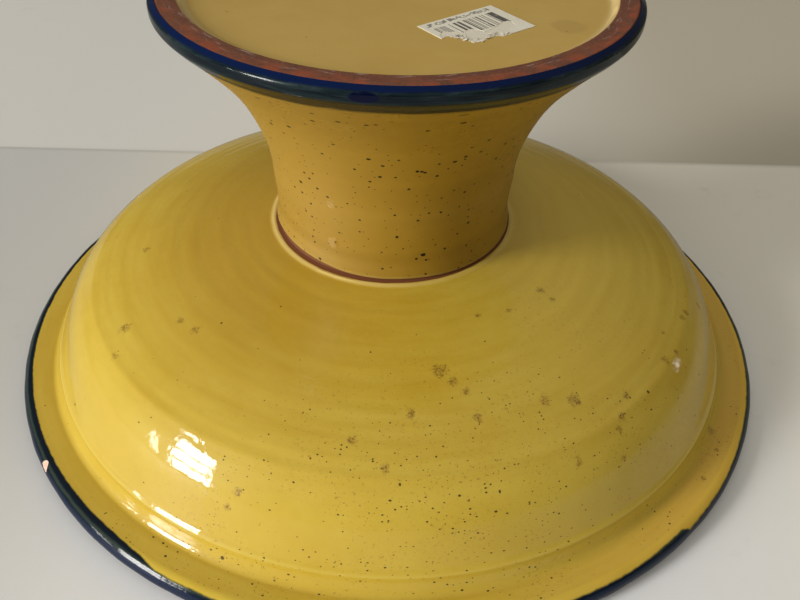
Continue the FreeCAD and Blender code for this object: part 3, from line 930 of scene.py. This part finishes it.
def frayed(corners, draw):
    """A torn line through corners, with fibres standing a little off it."""
    line = []
    for start, end in zip(corners, corners[1:]):
        start, end = np.array(start), np.array(end)
        aside = np.array([start[1] - end[1], end[0] - start[0]]) / np.linalg.norm(end - start)
        count = max(3, int(math.dist(start, end) / FIBRE_LENGTH))
        for share in np.linspace(0, 1, count, endpoint=False):
            fibre = draw.uniform(-FIBRE_REACH, FIBRE_REACH) * (share > 0)
            line.append(start + (end - start) * share + aside * fibre)
    return [*line, np.array(corners[-1])]


def trimmed(line):
    """A line held inside the whole label."""
    return [(min(max(x, 0.0), LABEL_LENGTH), min(max(y, 0.0), LABEL_WIDTH)) for x, y in line]


def label_outlines():
    """The paper left on the plate, and the printed skin that is left on the paper."""
    draw = np.random.default_rng(12)
    far_corners = [(LABEL_LENGTH, 0), (LABEL_LENGTH, LABEL_WIDTH), (0, LABEL_WIDTH)]
    paper = [*frayed(TORN_EDGE, draw), *far_corners]
    skin = [TORN_EDGE[0], *frayed(PEELED_EDGE, draw), PEELED_END, *far_corners]
    return trimmed(paper), trimmed(skin)


def label_place(across, up, lift):
    """A place on the label as a place on the pot, in metres."""
    turn = math.radians(LABEL_TURN)
    x = LABEL_CORNER[0] + across * math.cos(turn) - up * math.sin(turn)
    y = LABEL_CORNER[1] + across * math.sin(turn) + up * math.cos(turn)
    return Vector((x, y, PLATE_TOP + lift)) * MM


def edged(shape, under, over):
    """The edge of a sheet, between its lower and upper outlines."""
    for number in range(len(under)):
        after = (number + 1) % len(under)
        shape.faces.new((under[number], under[after], over[after], over[number]))


def leaf(shape, outline, low, high):
    """A flat sheet of any outline, with its thickness."""
    under = [shape.verts.new(label_place(x, y, low)) for x, y in outline]
    over = [shape.verts.new(label_place(x, y, high)) for x, y in outline]
    for first, second, third in tessellate_polygon([[Vector((x, y, 0)) for x, y in outline]]):
        shape.faces.new((over[first], over[second], over[third]))
        shape.faces.new((under[third], under[second], under[first]))
    edged(shape, under, over)


def shred(shape, middle, size, turn, tilt, draw):
    """A thin scrap of paper, lifted on one side."""
    low, high = [], []
    for number in range(SHRED_CORNERS):
        angle = 2 * math.pi * number / SHRED_CORNERS
        reach = size * draw.uniform(0.5, 1.0)
        along, aside = reach * math.cos(angle), reach * 0.55 * math.sin(angle)
        x = middle[0] + along * math.cos(turn) - aside * math.sin(turn)
        y = middle[1] + along * math.sin(turn) + aside * math.cos(turn)
        lift = LABEL_PAPER + SHRED_LIFT + max(0.0, along) * tilt
        x = max(SHRED_MARGIN, min(LABEL_LENGTH, x))
        y = max(SHRED_MARGIN, min(LABEL_WIDTH, y))
        low.append(shape.verts.new(label_place(x, y, lift - SHRED_PAPER)))
        high.append(shape.verts.new(label_place(x, y, lift)))
    shape.faces.new(high)
    shape.faces.new(low[::-1])
    edged(shape, low, high)


def torn_label():
    """Paper with its printed skin half peeled, and curled shreds along the tear."""
    shape = bmesh.new()
    paper, skin = label_outlines()
    leaf(shape, paper, LABEL_GAP, 0.5 * LABEL_PAPER)
    leaf(shape, skin, 0.5 * LABEL_PAPER + SKIN_GAP, LABEL_PAPER)
    draw = np.random.default_rng(4)
    for _ in range(SHRED_COUNT):
        run = draw.integers(2, len(TORN_EDGE) - 1)
        start, end = np.array(TORN_EDGE[run]), np.array(TORN_EDGE[run + 1])
        middle = start + (end - start) * draw.uniform(0, 1) + SHRED_SHIFT + draw.normal(0, SHRED_SPREAD, 2)
        size = draw.uniform(0.5, 1.6)
        turn = draw.uniform(0, 2 * math.pi)
        tilt = draw.uniform(0.15, 0.7)
        shred(shape, middle, size, turn, tilt, draw)
    bmesh.ops.recalc_face_normals(shape, faces=shape.faces)
    mesh = bpy.data.meshes.new("torn_label")
    shape.to_mesh(mesh)
    shape.free()
    return settled("torn_label", mesh)


def label_paper():
    """Off-white paper with plain printed bars, grey and fibrous along the tear."""
    mix = Recipe("label_paper")
    turn = math.radians(LABEL_TURN)
    right, away = mix.x - LABEL_CORNER[0], mix.y - LABEL_CORNER[1]
    across = right * math.cos(turn) + away * math.sin(turn)
    up = away * math.cos(turn) - right * math.sin(turn)
    fibre = mix.noise(0.8, 4, 0.7)
    mix.colour = mix.mix(fibre * 0.5 + mix.noise(9, 3) * 0.5, PAPER_GREY, PAPER_WHITE)
    bar = mix.node("ShaderNodeTexWhiteNoise", {"noise_dimensions": "1D"}, {"W": across.cells(BAR_CELL)})
    bars = (bar > 0.52) * across.between(*BARS_ACROSS) * up.between(*BARS_UP)
    cell = mix.sheet(across.cells(DASH_CELL[0]), up.cells(DASH_CELL[1]))
    dash = mix.node("ShaderNodeTexWhiteNoise", {"noise_dimensions": "2D"}, {"Vector": cell})
    dashes = (dash > 0.42) * across.between(*DASHES_ACROSS) * up.between(*DASHES_UP)
    kept = 1 - mix.noise(2, 3, 0.6, shift=6.0).rise(0.6, 0.75) * 0.8
    mix.lay(PRINT_BLACK, bars.most(dashes * 0.8) * kept * 0.88)
    peeled = (mix.z - PLATE_TOP).near(0.5 * LABEL_PAPER, 0.03)
    mix.lay(mix.mix(fibre, PEELED_TAN, PEELED_WHITE), peeled)
    return mix.surface(0.8, fibre, 0.12)


# The room

TABLE_REACH = 12.0
WALL_LINE = 186
TABLE_GREY = paint(236, 236, 237)
TABLE_WHITE = paint(242, 242, 243)
TABLE_BACK_SHADE = paint(216, 210, 196)
TABLE_LEFT_SHADE = paint(196, 196, 195)
TABLE_RIGHT_LIGHT = paint(246, 241, 228)
TABLE_FAR = paint(140, 138, 132)
TABLE_JOINT_SHADOW = paint(150, 146, 138)
TABLE_SMUDGE = paint(170, 160, 146)
TABLE_MIRRORED = paint(70, 68, 62)
WALL_PALE = paint(226, 224, 219)
WALL_SHADED = paint(184, 175, 154)

LAMP_DISTANCE = 6.0
LAMP_AIM = Vector((0, 0, 0.05))
DAYLIGHT = (1.0, 0.985, 0.95)
WARM_DAYLIGHT = (1.0, 0.97, 0.92)
WINDOW = {"azimuth": -151, "elevation": 17.5, "column": 3.6, "row": 10.2, "slant": -2.1}

HORIZON_LIGHT = (0.19, 0.175, 0.14, 1)
TOP_LIGHT = (0.53, 0.51, 0.455, 1)
FRONT_LIGHT = (0.26, 0.26, 0.255, 1)
LEFT_LIGHT = (0.22, 0.216, 0.205, 1)
RIGHT_LIGHT = (0.23, 0.205, 0.14, 1)

LENS = 39.15
SENSOR = 36.0
CAMERA_PLACE = Vector((0, -0.36336, 0.31760))
CAMERA_PITCH = 0.68791
CAMERA_PAN = 0.01349
CAMERA_ROLL = 0.03067


def floor_finish():
    """A plain pale table with painted shade towards the back and the left, painted light on the right, a
    painted shadow along the line where it meets the wall behind, painted shade on the wall's right, and a
    darker tone where the glaze mirrors it.
    """
    mix = Recipe("pale_table")
    fine = mix.noise(7, 4, 0.6)
    mix.colour = mix.mix(mix.noise(90, 3) * 0.6 + fine * 0.4, TABLE_GREY, TABLE_WHITE)
    # Painted shade towards the back and on the left, painted light on the right
    mix.lay(TABLE_BACK_SHADE, (mix.y - mix.x * 0.3).rise(-140, 110) * 0.8)
    mix.lay(TABLE_LEFT_SHADE, mix.x.rise(-90, -260) * 0.9)
    mix.lay(TABLE_RIGHT_LIGHT, mix.x.rise(120, 240) * 0.7)
    mix.lay(TABLE_FAR, mix.radius.rise(700, 2600))
    # A painted shadow along the joint with the wall
    joint_shadow = (mix.y + fine.sway(2)).near(WALL_LINE, 5)
    mix.lay(TABLE_JOINT_SHADOW, joint_shadow * 0.35)
    behind = mix.y.rise(WALL_LINE - 1, WALL_LINE + 1)
    mix.lay(WALL_PALE, behind * 0.7)
    # Painted shade on the right of the wall
    mix.lay(WALL_SHADED, behind * mix.x.rise(0, 260) * 0.85)
    smudge = mix.noise(30, 4, 0.6, shift=14.0).rise(0.6, 0.75) * fine.rise(0.4, 0.6)
    mix.lay(TABLE_SMUDGE, smudge * 0.12)
    # Painted reflection: the table is darker where the glaze mirrors it
    mirrored = mix.node("ShaderNodeLightPath", out="Is Glossy Ray")
    mix.lay(TABLE_MIRRORED, mirrored * 0.5)
    return mix.surface(0.6, fine, 0.05)


def table():
    """A wide flat floor."""
    mesh = bpy.data.meshes.new("table")
    corners = [(-1, -1), (1, -1), (1, 1), (-1, 1)]
    mesh.from_pydata([(x * TABLE_REACH, y * TABLE_REACH, 0) for x, y in corners], [], [(0, 1, 2, 3)])
    mesh.materials.append(floor_finish())
    placed("table", mesh)


def lamp(name, azimuth, elevation, width, height, power, tilt=0, colour=DAYLIGHT):
    """A soft rectangular light, aimed at the bowl from a direction."""
    light = bpy.data.lights.new(name, "AREA")
    light.shape = "RECTANGLE"
    light.size, light.size_y = width, height
    light.energy = power
    light.color = colour
    piece = placed(name, light)
    turn, lift = math.radians(azimuth), math.radians(elevation)
    toward = Vector((math.cos(turn) * math.cos(lift), math.sin(turn) * math.cos(lift), math.sin(lift)))
    piece.location = toward * LAMP_DISTANCE + LAMP_AIM
    piece.rotation_mode = "QUATERNION"
    piece.rotation_quaternion = (-toward).to_track_quat("-Z", "Y") @ Quaternion((0, 0, 1), math.radians(tilt))


def window_light():
    """A window of six panes at the left, a strip beside it and a small window far off at the right."""
    for column in (-1, 1):
        for row in (-1, 0, 1):
            azimuth = WINDOW["azimuth"] + WINDOW["column"] * column + WINDOW["slant"] * row
            elevation = WINDOW["elevation"] + WINDOW["row"] * row
            lamp("window_pane", azimuth, elevation, width=0.66, height=0.92, power=60, tilt=12)
    lamp("side_pane", -164, 12, width=0.2, height=1.8, power=18, tilt=18)
    lamp("far_window", 17.8, 10.6, width=0.05, height=0.12, power=0.4, colour=WARM_DAYLIGHT)


def room_light():
    """Even light from all round: full overhead, lower at the walls, and dim where the glaze mirrors it."""
    world = bpy.data.worlds.new("room")
    bpy.context.scene.world = world
    sky = Bench(world)
    across = sky.node("ShaderNodeSeparateXYZ", {}, {0: sky.node("ShaderNodeTexCoord", out="Generated")})
    away, up = across.of(1), across.of(2)
    sky.colour = sky.mix(up.rise(0.1, 0.9), HORIZON_LIGHT, TOP_LIGHT)
    low = up.rise(0.7, 0.2)
    sky.lay(FRONT_LIGHT, away.rise(-0.1, -0.9) * low)
    sky.lay(LEFT_LIGHT, across.rise(-0.2, -0.9) * low)
    sky.lay(RIGHT_LIGHT, across.rise(0.2, 0.9) * low)
    mirrored = sky.node("ShaderNodeLightPath", out="Is Glossy Ray")
    light = sky.node("ShaderNodeBackground", {}, {0: sky.colour, 1: 1 - mirrored * 0.68})
    sky.end("ShaderNodeOutputWorld", light)


def camera():
    """Where the picture was taken from: in front, above, and a little tilted."""
    level, fall = math.cos(CAMERA_PITCH), math.sin(CAMERA_PITCH)
    ahead = Vector((math.sin(CAMERA_PAN) * level, math.cos(CAMERA_PAN) * level, -fall))
    right = Vector((math.cos(CAMERA_PAN), -math.sin(CAMERA_PAN), 0))
    up = right.cross(ahead)
    across = math.cos(CAMERA_ROLL) * right + math.sin(CAMERA_ROLL) * up
    upward = math.cos(CAMERA_ROLL) * up - math.sin(CAMERA_ROLL) * right
    data = bpy.data.cameras.new("camera")
    data.lens, data.sensor_width = LENS, SENSOR
    data.clip_start = 0.01
    piece = placed("camera", data)
    turn = Matrix((across, upward, -ahead)).transposed()
    piece.matrix_world = Matrix.Translation(CAMERA_PLACE) @ turn.to_4x4()
    bpy.context.scene.camera = piece


# The pot

def stands_for(piece, node, finish):
    """A finished piece in the place of its plain solid."""
    piece.data.materials.append(finish)
    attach(piece, "root")
    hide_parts(node)


def bowl_pieces():
    """The bowl, its lip and the slip that the pedestal stands on."""
    bowl = turned("thrown_bowl", bowl_section(step=1.15), angles(count=280), False, bowl_relief)
    stands_for(bowl, "bowl", yellow_bowl())
    lip_section = ring_section([
        (LIP_SEAT, BRIM_HEIGHT, 0),
        (RIM_RADIUS, BRIM_HEIGHT, LIP_ROUND),
        (RIM_RADIUS, 0, LIP_ROUND),
        (LIP_SEAT, 0, 0),
    ], step=0.5)
    lip_angles = angles(count=420, fine=[(CHIP_ANGLE, 2.6, 0.12)])
    lip = turned("brushed_lip", lip_section, lip_angles, relief=lip_relief)
    stands_for(lip, "rim_lip", lip_glaze())
    seam_inner = SEAM_RADIUS - STEM_WALL
    seam_section = ring_section([
        (CLAY_RADIUS, STEM_BASE, 0),
        (CLAY_RADIUS, crown_at(CLAY_RADIUS), 0),
        (seam_inner, crown_at(seam_inner), 0),
        (seam_inner, STEM_BASE, 0),
    ], step=0.8)
    seam = turned("slip_seam", seam_section, angles(count=240))
    stands_for(seam, "seam_ring", seam_clay())


def foot_pieces():
    """The pedestal, the plate that closes it, the bare ring, the blue band and the label."""
    stands_for(pedestal(), "pedestal_stem", stem_glaze())
    plate_section = path([
        (0, PLATE_TOP, 0),
        (RING_INNER - (COVE_TOP - PLATE_TOP), PLATE_TOP, COVE_ROUND),
        (RING_INNER, COVE_TOP, 0),
        (RING_INNER, FOOT_UNDER, 0),
        (0, FOOT_UNDER, 0),
    ], step=1.5)
    plate = turned("glazed_foot_plate", plate_section, angles(count=300), False)
    stands_for(plate, "foot_plate", plate_glaze())
    foot_section = ring_section([
        (RING_INNER, FOOT_HEIGHT, RING_EDGE_ROUND),
        (RING_OUTER, FOOT_HEIGHT, RING_EDGE_ROUND),
        (RING_OUTER, FOOT_UNDER, 0),
        (RING_INNER, FOOT_UNDER, 0),
    ], step=0.7)
    ring = turned("bare_foot_ring", foot_section, angles(count=480), relief=ring_relief)
    stands_for(ring, "foot_ring", foot_clay())
    band_section = ring_section([
        (RING_OUTER, FOOT_HEIGHT, 0),
        (FOOT_RADIUS, FOOT_HEIGHT - BAND_FALL, BAND_TOP_ROUND),
        (FOOT_RADIUS, FOOT_UNDER + BAND_SLOPE, BAND_SIDE_ROUND),
        (RING_OUTER, FOOT_UNDER, 0),
    ], step=0.5)
    band = turned("glazed_foot_band", band_section, angles(count=360))
    stands_for(band, "foot_band", band_glaze())
    stands_for(torn_label(), "price_label", label_paper())


bowl_pieces()
foot_pieces()
table()
room_light()
window_light()
camera()
bpy.context.scene.view_settings.view_transform = "Standard"
